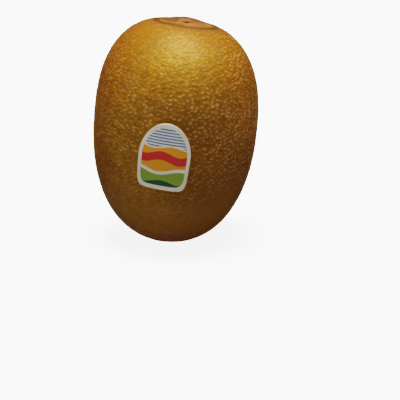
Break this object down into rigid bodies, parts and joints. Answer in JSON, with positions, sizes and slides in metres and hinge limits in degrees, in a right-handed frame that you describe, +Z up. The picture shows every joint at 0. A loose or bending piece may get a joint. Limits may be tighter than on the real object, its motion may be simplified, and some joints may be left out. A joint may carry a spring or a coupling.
{
  "type": "golden kiwi fruit",
  "caption": "Whole golden kiwi fruit: a blunt oval fruit with a creased stem end, standing on a small flat at its blossom end, with a plain paper label on its front.",
  "frame": {"origin": "on the surface that the fruit stands on, under the middle of its box", "axes": "+Z up from the blossom end to the stem end, -Y out through the label, +X to the right as seen from the label's side"},
  "size_m": [0.0546, 0.0518, 0.0737],
  "materials": {
    "fruit_skin": "smooth golden-brown fruit skin with a satin sheen and small raised matte tan dots",
    "label_paper": "thin coated paper with a white border and printed colour bands"
  },
  "bodies": {
    "root": {"fruit": "fruit_skin", "label": "label_paper"}
  },
  "joints": []
}
